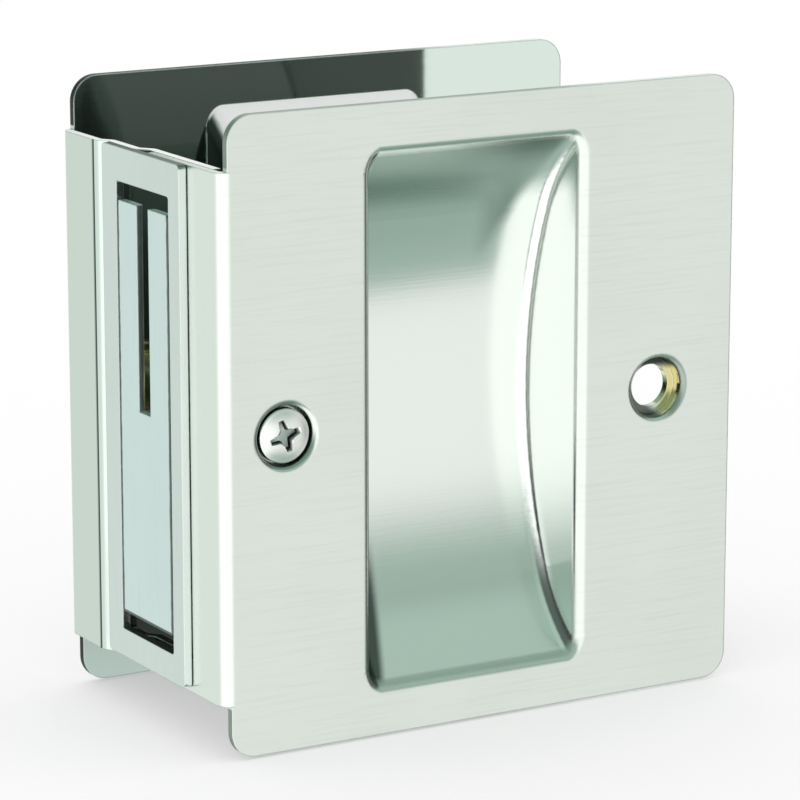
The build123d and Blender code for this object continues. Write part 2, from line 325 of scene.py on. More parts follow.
@dataclass(frozen=True)
class BrushedMetal:
    """A plated or bare metal with a brushed grain, mottling, worn bright edges and painted shade in
    its crevices.

    Attributes:
        name: the material's name.
        base: its colour and roughness where nothing else shows.
        deep: the colour of its duller patches.
        spread: how far the roughness varies.
        grain: the direction that it was brushed in.
        grain_depth: height of the grain in metres.
        mottle: how dull its clouds are.
        speckle: how dull its specks are.
        streak: how dull its grain is.
        cloud_waves: clouds in a metre.
        speck_waves: specks in a metre.
        edge_radius: how far its corners are rounded, in metres.
        edge_turn: how like the flat normal the rounded one is at no wear and at full wear.
        worn: how much brighter worn edges are.
        gleam: how much brighter the colour of a worn edge is than the base.
        crevice: how strongly painted shade darkens its crevices.
        crevice_reach: how far from a corner the painted shade still reaches, in metres.
        crevice_light: share of open sky at no painted shade and at full painted shade.
        crevice_shade_colour: the colour of the painted shade in its crevices.
        smoothest: the least roughness that it has anywhere.
        ior: index of refraction of any coating that isn't metal.
    """

    name: str
    base: Coating
    deep: Colour
    spread: float = 0.08
    grain: Grain = Grain.ACROSS
    grain_depth: float = 0.000004
    mottle: float = 0.3
    speckle: float = 0.2
    streak: float = 0.45
    cloud_waves: float = 45.0
    speck_waves: float = 1400.0
    edge_radius: float = 0.22 * MM
    edge_turn: Span = (0.985, 0.8)
    worn: float = 0.25
    gleam: float = 1.12
    crevice: float = 0.8
    crevice_reach: float = 1.2 * MM
    crevice_light: Span = (0.62, 0.12)
    # The near-black colour of the painted shade in crevices.
    crevice_shade_colour: Colour = (0.012, 0.016, 0.013)
    smoothest: float = 0.05
    ior: float = 1.5

    def areas(self, layers: Layers, point: Wire) -> None:
        """Lays the areas that differ from the base; plain metal has none."""

    def _plain(self, tree: Tree, point: Wire, streaks: Wire) -> Layers:
        """Makes the metal without its areas: mottled, specked and streaked.

        Args:
            tree: the material's tree.
            point: the point's place.
            streaks: the noise of the grain.

        Returns:
            The surface to lay areas on.
        """
        clouds = tree.noise(point, self.cloud_waves, 3.0, 0.55)
        specks = tree.noise(point, self.speck_waves)
        dull = clouds.ramp(0.35, 0.75) * self.mottle + specks.ramp(0.55, 0.8) * self.speckle
        dull = (dull + streaks.ramp(0.45, 0.8) * self.streak).lowest(1.0)
        rough = self.base.roughness + (streaks - 0.5) * self.spread
        rough = rough + (clouds - 0.5) * self.spread * 0.6
        colour = tree.blend(dull, self.base.colour, self.deep)
        return Layers(tree, colour, rough, self.base.metallic)

    def _worn_and_shaded_colour(self, layers: Layers, rounded: Wire) -> Wire:
        """Brightens the worn edges and lays painted shade in the crevices.

        Args:
            layers: the surface with its areas.
            rounded: the normal with rounded corners.

        Returns:
            The final colour.
        """
        tree = layers.tree
        flat = tree.output("ShaderNodeNewGeometry", name="True Normal")
        edge = tree.vector("DOT_PRODUCT", rounded, flat, "Value").ramp(*self.edge_turn)
        # Painted shade: ambient occlusion darkens the colour towards near black in crevices and
        # gaps.
        reach = {"Distance": self.crevice_reach}
        sky = tree.output("ShaderNodeAmbientOcclusion", {"samples": 6}, reach, "AO")
        bright = tuple(min(1.0, channel * self.gleam) for channel in self.base.colour)
        colour = tree.blend(edge * layers.metallic * self.worn, layers.colour, bright)
        return tree.blend(sky.ramp(*self.crevice_light) * self.crevice, colour, self.crevice_shade_colour)

    def material(self) -> bpy.types.Material:
        """Builds the finish.

        Returns:
            The material.
        """
        material = bpy.data.materials.new(self.name)
        material.use_nodes = True
        material.node_tree.nodes.clear()
        tree = Tree(material.node_tree)
        point = tree.object_point()
        streaks = tree.noise(tree.vector("MULTIPLY", point, self.grain.value), 1.0, 3.0, 0.6)
        layers = self._plain(tree, point, streaks)
        self.areas(layers, point)
        rounded = tree.output("ShaderNodeBevel", {"samples": 4}, {"Radius": self.edge_radius})
        bump_inputs = {
            "Strength": 1.0,
            "Distance": self.grain_depth,
            "Height": streaks,
            "Normal": rounded,
        }
        shader_inputs = {
            "Base Color": self._worn_and_shaded_colour(layers, rounded),
            "Roughness": layers.roughness.highest(self.smoothest),
            "Metallic": layers.metallic,
            "Normal": tree.output("ShaderNodeBump", None, bump_inputs),
            "IOR": self.ior,
        }
        surface = tree.output("ShaderNodeBsdfPrincipled", None, shader_inputs)
        tree.node("ShaderNodeOutputMaterial", inputs={"Surface": surface})
        return material


@dataclass(frozen=True)
class PlateLayout:
    """Where one half's plate, cup and screw holes lie, in metres.

    Attributes:
        side: the face of the door that it is on.
        face_y: its outward face.
        cup_left: the cup's left end.
        cup_right: the cup's right end.
        screw_hole_x: the screw hole that has its screw.
        empty_hole_x: the screw hole that has no screw in it.
        middle_z: the height of the middle.
    """

    side: Side
    face_y: float
    cup_left: float
    cup_right: float
    screw_hole_x: float
    empty_hole_x: float
    middle_z: float


@dataclass(frozen=True)
class Spot:
    """A point on a pressed half: where it lies, which way it faces and how deep it is.

    Attributes:
        x: its place to the right.
        y: its place towards the back.
        z: its height.
        facing_x: how far it faces right, from -1 to 1.
        facing_y: how far it faces the back.
        facing_z: how far it faces up.
        depth: how far it lies behind the plate's outward face.
    """

    x: Wire
    y: Wire
    z: Wire
    facing_x: Wire
    facing_y: Wire
    facing_z: Wire
    depth: Wire


@dataclass(frozen=True)
class CupMarks:
    """The bounds of the marks in a finger cup. A span runs from no mark to the full mark.

    Attributes:
        margin: how far past the cup's ends its marks reach.
        sunk: depth at which the burnish starts.
        end_facing: how far the upper end faces down.
        corner_slope: rise of the upper corner's lower bound for each step to the right.
        corner_bound: height of that bound where X is 0.
        corner_height: height of the corner.
        corner_x: where the corner starts, across.
        corner_facing: how far the corner may face left.
        lip_top: depth of the lip's start.
        lip_foot: depth of the lip's end.
        low_height: height below which the left wall is dark under its lip too.
        left_facing: how far the left wall faces right.
        wedge_depth: move to the right of the wedge at the left wall for each step of depth.
        wedge_rise: its move to the left for each step of height.
        wedge_base: the height that this move is measured from.
        wedge_width: distance from the left wall over which the wedge fades.
        wedge_height: height of the wedge.
        wedge_share: how strong the wedge is.
        turn_start: how far the turn to the right wall faces left where its shade starts.
        turn_end: the same where the shade ends.
        turn_height: height of that shade.
        turn_share: how strong it is.
        foot_facing: how far the lower lip faces up.
        foot_height: height of the lower lip.
        foot_share: how strong the painted shade on the lower lip is.
    """

    margin: float = 1.2 * MM
    sunk: Span = span_mm(0.25, 1.4)
    end_facing: Span = (0.36, 0.56)
    corner_slope: float = 1.82
    corner_bound: Span = span_mm(43.0, 48.0)
    corner_height: Span = span_mm(52.0, 58.0)
    corner_x: Span = span_mm(3.0, 8.5)
    corner_facing: Span = (0.3, 0.1)
    lip_top: Span = span_mm(0.1, 0.5)
    lip_foot: Span = span_mm(1.3, 0.9)
    low_height: Span = span_mm(30.0, 18.0)
    left_facing: Span = (0.1, 0.45)
    wedge_depth: float = 0.584
    wedge_rise: float = 0.13
    wedge_base: float = 8.0 * MM
    wedge_width: Span = span_mm(1.9, 0.6)
    wedge_height: Span = span_mm(24.0, 16.0)
    wedge_share: float = 0.9
    turn_start: Span = (0.3, 0.5)
    turn_end: Span = (0.97, 0.85)
    turn_height: Span = span_mm(21.0, 13.0)
    turn_share: float = 0.8
    foot_facing: Span = (0.3, 0.6)
    foot_height: Span = span_mm(12.0, 9.0)
    foot_share: float = 0.4


@dataclass(frozen=True)
class FoldMarks:
    """The bounds of the marks on the flange, its groove and the sheared rim.

    Attributes:
        flange_x: where the flange starts, across.
        groove_near: Y of the groove's near side.
        groove_far: Y of its far side.
        groove_facing: how far its floor faces left.
        groove_x: where the groove starts, across.
        rim_depth: depth of the sheared rim.
        rim_facing: how far the rim may face the front or the back.
        above_flange: height of the flange's upper end.
        below_flange: height of its lower end.
        rim_x: how far to the right the rim's darker edge and painted shade reach.
        flat_facing: how far the inner side faces the door.
        fold_facing: how far the flange's inner side faces inwards.
        fold_x: where that inner side starts, across.
    """

    flange_x: Span = span_mm(-33.5, -34.1)
    groove_near: Span = span_mm(7.8, 8.2)
    groove_far: Span = span_mm(11.1, 10.6)
    groove_facing: Span = (0.2, 0.4)
    groove_x: Span = span_mm(-34.0, -34.4)
    rim_depth: Span = span_mm(1.2, 1.1)
    rim_facing: Span = (0.7, 0.4)
    above_flange: Span = span_mm(70.0, 70.3)
    below_flange: Span = span_mm(6.3, 6.0)
    rim_x: Span = span_mm(20.0, 8.0)
    flat_facing: Span = (0.0, -0.06)
    fold_facing: Span = (0.2, 0.5)
    fold_x: Span = span_mm(-29.0, -31.0)


@dataclass(frozen=True)
class DimpleMarks:
    """The bounds of the marks in the two screw dimples, about each dimple's middle.

    Attributes:
        rolled_radius: radius of the rolled mouth's outside.
        rolled_depth: depth of the rolled mouth's end.
        bare_radius: radius of the empty dimple's cone.
        bare_depth: depth of that cone's start.
        bare_right: how far right its bare metal starts.
        dark_up: how far up its dark upper part starts.
        dark_low: how far left and down its dark lower part starts.
        dark_low_share: how strong that lower part is.
        mouth_radius: radius of the empty dimple's shaded mouth.
        mouth_right: how far right that shaded mouth starts.
        mouth_share: how strong its painted shade is.
        seat_radius: radius of the cone that the screw's head lies in.
        seat_depth: depth of that cone's start.
        seat_outer: radius from which that cone is seen round the head.
        seat_lean: how much the shaded side of that cone leans to the right.
        seat_low: how far down its painted shade starts.
        seat_share: how strong that painted shade is.
        upper_left: how far up and left the screw's rolled mouth is shaded.
        upper_left_share: how strong that painted shade is.
    """

    rolled_radius: Span = span_mm(4.5, 4.2)
    rolled_depth: Span = span_mm(0.9, 0.8)
    bare_radius: Span = span_mm(4.2, 3.7)
    bare_depth: Span = span_mm(0.05, 0.4)
    bare_right: Span = span_mm(0.3, 2.0)
    dark_up: Span = span_mm(1.6, 2.9)
    dark_low: Span = span_mm(-1.6, -3.4)
    dark_low_share: float = 0.85
    mouth_radius: Span = span_mm(3.6, 3.8)
    mouth_right: Span = span_mm(0.5, 2.6)
    mouth_share: float = 0.75
    seat_radius: Span = span_mm(4.1, 3.9)
    seat_depth: Span = span_mm(0.02, 0.2)
    seat_outer: Span = span_mm(3.5, 3.65)
    seat_lean: float = 0.4
    seat_low: Span = span_mm(0.8, 2.6)
    seat_share: float = 0.8
    upper_left: Span = span_mm(1.2, 3.6)
    upper_left_share: float = 0.85


@dataclass(frozen=True)
class PressedSheet(BrushedMetal):
    """The finish of a pressed half: satin outside, a burnished cup, an inner side of its own, and
    painted shade and highlights over its cup, flange, rims and dimples.

    Attributes:
        layout: where the plate, cup and holes lie.
        cup: what the finger cup shows.
        cup_end_shade: painted shade on the cup's steep upper end, the dark that its downward face
            mirrors.
        cup_corner_shade: painted shade on the cup's upper right corner, darker still.
        flange: what the folded flange shows; on the front half a lighter copy of the satin, a
            painted highlight near the fold.
        inner: what the side that faces the door shows; on the front half near-black painted shade,
            which the back half's glossy inner side mirrors.
        rim: what the sheared edge shows above and below the flange: a darker cut edge with painted
            shade over it.
        shade: near-black painted shade in grooves and under lips.
        lip: lighter painted shade on the upper side of a dimple and on a lower lip.
        bare: the bare metal of the empty screw hole.
        cup_marks: the bounds of the marks in the cup.
        fold_marks: the bounds of the marks on the flange.
        dimple_marks: the bounds of the marks in the dimples.
    """

    layout: Optional[PlateLayout] = None
    cup: Coating = Coating((0.86, 0.895, 0.86), 0.17)
    # Painted shade: the dark that the cup's steep upper end mirrors, darker again at its right
    # corner.
    cup_end_shade: Coating = Coating((0.36, 0.46, 0.41), 0.3)
    cup_corner_shade: Coating = Coating((0.27, 0.36, 0.315), 0.3)
    # A lighter copy of the satin: painted highlight on the front flange near its fold.
    flange: Coating = Coating((0.83, 0.875, 0.82), 0.26)
    # Near-black painted shade on the front half's inner side, standing for the unlit inside of the
    # lock.
    inner: Coating = Coating((0.043, 0.056, 0.048), 0.16, 0.0)
    # A darker cut edge with painted shade over it.
    rim: Coating = Coating((0.3, 0.35, 0.31), 0.4)
    # Painted shade: near black for grooves, walls and lips, lighter for dimples and the cup's lower
    # lip.
    shade: Coating = Coating((0.045, 0.06, 0.052), 0.4)
    lip: Coating = Coating((0.26, 0.33, 0.295), 0.4)
    bare: Coating = Coating((0.76, 0.72, 0.46), 0.13)
    cup_marks: CupMarks = CupMarks()
    fold_marks: FoldMarks = FoldMarks()
    dimple_marks: DimpleMarks = DimpleMarks()

    def _cup(self, layers: Layers, spot: Spot) -> None:
        """Lays the cup's burnish, painted shade on its upper end and corner, and painted shade
        along its walls and lower lip.

        Args:
            layers: the surface so far.
            spot: the point that is shaded.
        """
        layout, marks = self.layout, self.cup_marks
        inside = spot.x.ramp(layout.cup_left - marks.margin, layout.cup_left)
        inside = inside * spot.x.ramp(layout.cup_right + marks.margin, layout.cup_right)
        sunk = inside * spot.depth.ramp(*marks.sunk)
        layers.lay(sunk, self.cup)
        facing_down, facing_left = 0.0 - spot.facing_z, 0.0 - spot.facing_x
        # Painted shade where the upper end faces down, darker at its upper right corner.
        layers.lay(sunk * facing_down.ramp(*marks.end_facing), self.cup_end_shade)
        corner = (spot.z - spot.x * marks.corner_slope).ramp(*marks.corner_bound)
        corner = corner * spot.z.ramp(*marks.corner_height) * spot.x.ramp(*marks.corner_x)
        layers.lay(sunk * corner * facing_left.ramp(*marks.corner_facing), self.cup_corner_shade)

        # Painted shade under the left lip and down the left wall, in a wedge beside it and along
        # the turn to the right wall.
        under = spot.depth.ramp(*marks.lip_top)
        lip = under * spot.depth.ramp(*marks.lip_foot)
        wall = lip.highest(spot.z.ramp(*marks.low_height) * under)
        layers.lay(inside * wall * spot.facing_x.ramp(*marks.left_facing), self.shade)
        from_wall = spot.x - layout.cup_left - spot.depth * marks.wedge_depth
        from_wall = from_wall + (spot.z - marks.wedge_base) * marks.wedge_rise
        wedge = from_wall.ramp(*marks.wedge_width) * spot.z.ramp(*marks.wedge_height)
        layers.lay(sunk * wedge * marks.wedge_share, self.shade)
        turning = facing_left.ramp(*marks.turn_start) * facing_left.ramp(*marks.turn_end)
        turning = turning * spot.z.ramp(*marks.turn_height)
        layers.lay(sunk * turning * marks.turn_share, self.shade)
        # Painted shade on the upward-facing lower lip.
        foot = spot.facing_z.ramp(*marks.foot_facing) * spot.z.ramp(*marks.foot_height)
        layers.lay(inside * lip * foot * marks.foot_share, self.lip)

    def _folds(self, layers: Layers, spot: Spot) -> None:
        """Lays the flange, lighter as painted highlight on the front half and darker as painted
        shade on the back half, the painted shade in its groove and the sheared rim.

        Args:
            layers: the surface so far.
            spot: the point that is shaded.
        """
        marks = self.fold_marks
        layers.lay(spot.x.ramp(*marks.flange_x), self.flange)
        # Painted shade in the groove beside the joggle.
        groove = spot.y.ramp(*marks.groove_near) * spot.y.ramp(*marks.groove_far)
        groove = groove * (0.0 - spot.facing_x).ramp(*marks.groove_facing)
        layers.lay(groove * spot.x.ramp(*marks.groove_x), self.shade)
        # The sheared rim: a darker cut edge with painted shade over it, near black on the back
        # half.
        sheared = spot.depth.ramp(*marks.rim_depth)
        sheared = sheared * spot.facing_y.absolute().ramp(*marks.rim_facing)
        clear = spot.z.ramp(*marks.above_flange).highest(spot.z.ramp(*marks.below_flange))
        layers.lay(sheared * clear * spot.x.ramp(*marks.rim_x), self.rim)

    def _from_middle(self, spot: Spot, hole_x: float) -> tuple[Wire, Wire, Wire]:
        """How far right and up of a dimple's middle the point lies, and its radius there."""
        across, up = spot.x - hole_x, spot.z - self.layout.middle_z
        return across, up, (across * across + up * up) ** 0.5

    def _empty_dimple(self, layers: Layers, spot: Spot) -> None:
        """Lays the bare metal, and painted shade on the dark parts and the mouth, of the dimple
        with no screw.

        Args:
            layers: the surface so far.
            spot: the point that is shaded.
        """
        marks = self.dimple_marks
        across, up, radius = self._from_middle(spot, self.layout.empty_hole_x)
        cone = radius.ramp(*marks.bare_radius) * spot.depth.ramp(*marks.bare_depth)
        layers.lay(cone * across.ramp(*marks.bare_right), self.bare)
        # Painted shade on the cone's upper and lower parts and on the right of its mouth.
        low = (across + up).ramp(*marks.dark_low) * marks.dark_low_share
        layers.lay(cone * up.ramp(*marks.dark_up).highest(low), self.shade)
        mouth = radius.ramp(*marks.mouth_radius) * radius.ramp(*marks.rolled_radius)
        mouth = mouth * spot.depth.ramp(*marks.rolled_depth) * across.ramp(*marks.mouth_right)
        layers.lay(mouth * marks.mouth_share, self.lip)

    def _screw_dimple(self, layers: Layers, spot: Spot) -> None:
        """Lays painted shade on parts of the dimple round the screw's head.

        Args:
            layers: the surface so far.
            spot: the point that is shaded.
        """
        marks = self.dimple_marks
        across, up, radius = self._from_middle(spot, self.layout.screw_hole_x)
        # Painted shade on the upper left of the rolled mouth and the lower side of the seat.
        rolled = radius.ramp(*marks.rolled_radius) * spot.depth.ramp(*marks.rolled_depth)
        rolled = rolled * (up - across).ramp(*marks.upper_left)
        layers.lay(rolled * marks.upper_left_share, self.lip)
        seat = radius.ramp(*marks.seat_radius) * spot.depth.ramp(*marks.seat_depth)
        seat = seat * radius.ramp(*marks.seat_outer)
        seat = seat * (across * marks.seat_lean - up).ramp(*marks.seat_low)
        layers.lay(seat * marks.seat_share, self.lip)

    def _inner_side(self, layers: Layers, spot: Spot) -> None:
        """Lays what the side that faces the door shows: painted shade on the front half, glossy
        metal on the back half.

        Args:
            layers: the surface so far.
            spot: the point that is shaded.
        """
        marks = self.fold_marks
        outward = spot.facing_y * self.layout.side.value
        folded = (spot.facing_x - outward).ramp(*marks.fold_facing)
        folded = folded * spot.x.ramp(*marks.fold_x)
        layers.lay(outward.ramp(*marks.flat_facing).highest(folded), self.inner)

    def _marks(self, layers: Layers, spot: Spot) -> None:
        """Lays every mark of the half in order.

        Args:
            layers: the surface so far.
            spot: the point that is shaded.
        """
        self._cup(layers, spot)
        self._folds(layers, spot)
        self._empty_dimple(layers, spot)
        self._screw_dimple(layers, spot)
        self._inner_side(layers, spot)

    def areas(self, layers: Layers, point: Wire) -> None:
        """Lays the areas of the half over the satin.

        Args:
            layers: the surface so far.
            point: the point's place.
        """
        tree = layers.tree
        x, y, z = tree.parts(point)
        facing = tree.parts(tree.output("ShaderNodeTexCoord", name="Normal"))
        depth = (self.layout.face_y - y) * self.layout.side.value
        self._marks(layers, Spot(x, y, z, *facing, depth))


@dataclass(frozen=True)
class ShadedSheet(PressedSheet):
    """The back half's finish, with painted shade on its inner side where the closed edge shades it
    and a painted highlight on its cup's back.

    Attributes:
        shaded: painted shadow that the closed edge casts on the inner side behind the window's
            lower end.
        low_inner_shade: painted shade on the inner side below the flange, darker towards the
            bottom.
        cup_top_highlight: painted highlight, a matt near white, on the upper end of the cup's back.
        inward: how far the inner side faces the front.
        inward_x: how far left the inner side's marks start.
        low_height: height below the flange.
        slant: rise of the shaded part's lower bound for each step to the left.
        slant_bound: height of that bound where X is 0.
        shaded_height: height of the shaded part.
        back_depth: depth of the cup's back.
        top_height: height of the upper end of the cup's back.
        outline_facing: how far that end faces up where its painted shade outline starts.
        top_facing: the same where its painted highlight starts.
        end_in: how far the dark left end reaches past the cup's end.
        end_out: how far left of the cup's end it starts.
        end_depth: depth of that dark end.
        end_facing: how far it faces left.
    """

    # Painted shade, painted shadow and a painted highlight for the back half.
    shaded: Coating = Coating((0.05, 0.06, 0.055), 0.4)
    low_inner_shade: Coating = Coating((0.52, 0.63, 0.58), 0.3)
    cup_top_highlight: Coating = Coating((0.97, 0.985, 0.97), 0.55, 0.0)
    inward: Span = (-0.5, -0.8)
    inward_x: Span = span_mm(0.0, -6.0)
    low_height: Span = span_mm(7.5, 5.0)
    slant: float = 0.45
    slant_bound: Span = span_mm(-9.0, -7.2)
    shaded_height: Span = span_mm(24.0, 15.0)
    back_depth: Span = span_mm(0.96, 0.99)
    top_height: Span = span_mm(62.0, 64.0)
    outline_facing: Span = (0.04, 0.14)
    top_facing: Span = (0.3, 0.5)
    end_in: Span = span_mm(1.0, 0.0)
    end_out: Span = span_mm(-4.0, -3.0)
    end_depth: Span = span_mm(1.1, 1.4)
    end_facing: Span = (0.5, 0.8)

    def _marks(self, layers: Layers, spot: Spot) -> None:
        """Lays the marks of any half, then those of the back half's inner side.

        Args:
            layers: the surface so far.
            spot: the point that is shaded.
        """
        super()._marks(layers, spot)
        # Painted shade low on the inner side, and the painted shadow of the closed edge.
        inward = spot.facing_y.ramp(*self.inward) * spot.x.ramp(*self.inward_x)
        layers.lay(inward * spot.z.ramp(*self.low_height), self.low_inner_shade)
        shaded = (spot.z + spot.x * self.slant).ramp(*self.slant_bound)
        layers.lay(inward * shaded * spot.z.ramp(*self.shaded_height), self.shaded)
        # The cup's back: a painted shade outline, then a painted highlight where it faces up.
        upper = spot.depth.ramp(*self.back_depth) * spot.z.ramp(*self.top_height)
        layers.lay(upper * spot.facing_z.ramp(*self.outline_facing), self.shade)
        layers.lay(upper * spot.facing_z.ramp(*self.top_facing), self.cup_top_highlight)
        # Painted shade on the left end of the cup's back.
        from_end = spot.x - self.layout.cup_left
        end = from_end.ramp(*self.end_in) * from_end.ramp(*self.end_out)
        end = end * spot.depth.ramp(*self.end_depth)
        layers.lay(end * (0.0 - spot.facing_x).ramp(*self.end_facing), self.shade)


@dataclass(frozen=True)
class EdgedPlate(BrushedMetal):
    """The finish of the window plate, with painted shade on its cut upper edge.

    Attributes:
        cut: the painted shade on the upper edge.
        cut_facing: how far the upper edge faces up, at no mark and at the full mark.
    """

    # Painted shade on the upward-facing cut edge.
    cut: Coating = Coating((0.16, 0.19, 0.175), 0.45)
    cut_facing: Span = (0.3, 0.7)

    def areas(self, layers: Layers, point: Wire) -> None:
        """Lays painted shade on the cut edge.

        Args:
            layers: the surface so far.
            point: the point's place.
        """
        tree = layers.tree
        upward = tree.parts(tree.output("ShaderNodeTexCoord", name="Normal"))[2]
        layers.lay(upward.ramp(*self.cut_facing), self.cut)


SATIN = Coating((0.765, 0.815, 0.765), 0.24)
DULL_SATIN = (0.695, 0.75, 0.685)
# Near-black painted shade over the back half's sheared rim.
RIM_PAINTED_SHADE = Coating((0.03, 0.036, 0.032), 0.45)

FACEPLATE_NICKEL = EdgedPlate(
    name="faceplate_nickel",
    base=Coating((0.73, 0.79, 0.77), 0.26),
    deep=(0.66, 0.72, 0.70),
    grain=Grain.UP,
    crevice=0.3,
)
INNER_STEEL = BrushedMetal(
    name="inner_steel",
    base=Coating((0.30, 0.32, 0.30), 0.4),
    deep=(0.20, 0.21, 0.20),
    grain=Grain.UP,
)
SPRING_STEEL = BrushedMetal(
    name="spring_steel",
    base=Coating((0.34, 0.35, 0.35), 0.3),
    deep=(0.2, 0.2, 0.2),
    grain=Grain.NONE,
    edge_radius=0.05 * MM,
)
POST_BRASS = BrushedMetal(
    name="post_brass",
    base=Coating((0.78, 0.68, 0.36), 0.26),
    deep=(0.55, 0.46, 0.22),
    grain=Grain.ACROSS,
)


@dataclass
class PressedHalves:
    """The two pressed halves and the window plate: the solids themselves, given their finish.

    Attributes:
        cup_left: from the plate's edge to the cup.
        cup_width: the cup's width.
        plate_width: the plate's width.
    """

    cup_left: float = 18.9 * MM
    cup_width: float = 29.0 * MM
    plate_width: float = 69.85 * MM

    def _layout(self, node: str, side: Side) -> PlateLayout:
        """Works out where a half's plate, cup and screw holes lie.

        Args:
            node: the half's solid.
            side: the face of the door that it is on.

        Returns:
            The layout.
        """
        low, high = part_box(node)
        left = high.x - self.plate_width
        post_low, post_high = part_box("screw_post_inner")
        screw_low, screw_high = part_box("screw_post_edge")
        return PlateLayout(
            side=side,
            face_y=low.y if side is Side.FRONT else high.y,
            cup_left=left + self.cup_left,
            cup_right=left + self.cup_left + self.cup_width,
            screw_hole_x=(screw_low.x + screw_high.x) / 2,
            empty_hole_x=(post_low.x + post_high.x) / 2,
            middle_z=(low.z + high.z) / 2,
        )

    def dress(self) -> None:
        """Gives both halves and the window plate their finishes."""
        front = PressedSheet(
            name="satin_nickel_front",
            base=SATIN,
            deep=DULL_SATIN,
            crevice=0.35,
            layout=self._layout("front_plate", Side.FRONT),
        )
        back = ShadedSheet(
            name="satin_nickel_back",
            base=SATIN,
            deep=DULL_SATIN,
            crevice=0.5,
            layout=self._layout("back_plate", Side.BACK),
            # A darker copy of the satin: painted shade on the back flange.
            flange=Coating((0.71, 0.77, 0.71), 0.28),
            inner=Coating((0.74, 0.84, 0.78), 0.05),
            rim=RIM_PAINTED_SHADE,
            bare=SATIN,
        )
        dress_node("front_plate", front)
        dress_node("back_plate", back)
        dress_node("edge_faceplate", FACEPLATE_NICKEL)


@dataclass(frozen=True)
class ShadeLinedPull(BrushedMetal):
    """The finish of the edge pull, with a dark line of painted shade along its sides and lower end,
    where they meet the window.

    Attributes:
        low: the pull's lower corner.
        high: the pull's upper corner.
        line: how wide the painted shade line is, in metres.
        line_share: how strong it is.
        uneven_waves: changes of the line's width in a metre.
        uneven_least: the narrowest that it gets, as a share.
        uneven_swing: how much wider it may get, as a share.
        side_shade: the painted shade that the line shows.
    """

    low: Vector = field(default_factory=Vector)
    high: Vector = field(default_factory=Vector)
    line: float = 0.42 * MM
    line_share: float = 0.9
    uneven_waves: float = 900.0
    uneven_least: float = 0.55
    uneven_swing: float = 0.9
    # Painted shade along the pull's sides and lower end.
    side_shade: Coating = Coating((0.06, 0.075, 0.07), 0.45)

    def areas(self, layers: Layers, point: Wire) -> None:
        """Lays the painted shade lines along both sides and the lower end.

        Args:
            layers: the surface so far.
            point: the point's place.
        """
        tree = layers.tree
        _, y, z = tree.parts(point)
        # Painted shade: an uneven dark line where the pull meets the window.
        uneven = tree.noise(point, self.uneven_waves) * self.uneven_swing + self.uneven_least
        near = (y - self.low.y) / uneven
        far = (self.high.y - y) / uneven
        fade = (self.line, self.line * 0.5)
        side = near.lowest(far).ramp(*fade).highest((z - self.low.z).ramp(*fade))
        layers.lay(side * self.line_share, self.side_shade)


@dataclass
class PullMechanism:
    """The edge pull with its bracket, pin, ring and spring."""

    def dress(self) -> None:
        """Gives the pull and what carries it their finishes."""
        low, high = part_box("edge_pull")
        pull = ShadeLinedPull(
            name="pull_nickel",
            base=Coating((0.75, 0.86, 0.85), 0.36),
            deep=(0.68, 0.79, 0.78),
            grain=Grain.UP,
            crevice=0.9,
            low=low,
            high=high,
        )
        dress_node("edge_pull", pull)
        dress_node("pull_bracket", INNER_STEEL)
        dress_node("pull_pin", INNER_STEEL)
        dress_node("pin_clip", SPRING_STEEL)
        dress_node("pull_spring", SPRING_STEEL)


class Recipe:
    """A Geometry Nodes tree with named inputs, which is run once and leaves a plain mesh."""

    def __init__(self, name: str, sizes: dict[str, float], counts: dict[str, int]) -> None:
        """Starts the tree.

        Args:
            name: the tree's name.
            sizes: named lengths and angles.
            counts: named whole numbers.
        """
        self.group = bpy.data.node_groups.new(name, "GeometryNodeTree")
        face = self.group.interface
        face.new_socket("Geometry", in_out="OUTPUT", socket_type="NodeSocketGeometry")
        self.identifiers: dict[str, str] = {}
        self.values: dict[str, Union[float, int]] = {**sizes, **counts}
        for label in sizes:
            made = face.new_socket(label, in_out="INPUT", socket_type="NodeSocketFloat")
            self.identifiers[label] = made.identifier
        for label in counts:
            made = face.new_socket(label, in_out="INPUT", socket_type="NodeSocketInt")
            self.identifiers[label] = made.identifier
        self.tree = Tree(self.group)
        self.entry = self.tree.node("NodeGroupInput")

    def size(self, label: str) -> Wire:
        """The wire of a named input."""
        return Wire(self.tree, self.entry.outputs[label])

    def finish(self, shape: Wire, material: bpy.types.Material) -> None:
        """Ends the tree: instances made real, the material set.

        Args:
            shape: the geometry.
            material: what it is made of.
        """
        real = self.tree.output("GeometryNodeRealizeInstances", None, {0: shape})
        dressed = self.tree.output("GeometryNodeSetMaterial", None, {0: real, "Material": material})
        self.tree.node("NodeGroupOutput", inputs={0: dressed})

    def run(self, name: str) -> bpy.types.Object:
        """Runs the tree on an empty mesh.

        Args:
            name: the name of the new piece.

        Returns:
            A plain mesh object, with no modifier.
        """
        carrier = bpy.data.objects.new(name + "_recipe", bpy.data.meshes.new(name + "_recipe"))
        bpy.context.scene.collection.objects.link(carrier)
        modifier = carrier.modifiers.new("recipe", "NODES")
        modifier.node_group = self.group
        for label, value in self.values.items():
            modifier[self.identifiers[label]] = value
        bpy.context.view_layer.update()
        evaluated = carrier.evaluated_get(bpy.context.evaluated_depsgraph_get())
        mesh = bpy.data.meshes.new_from_object(evaluated)
        mesh.name = name
        bpy.data.objects.remove(carrier)
        piece = bpy.data.objects.new(name, mesh)
        bpy.context.scene.collection.objects.link(piece)
        return piece


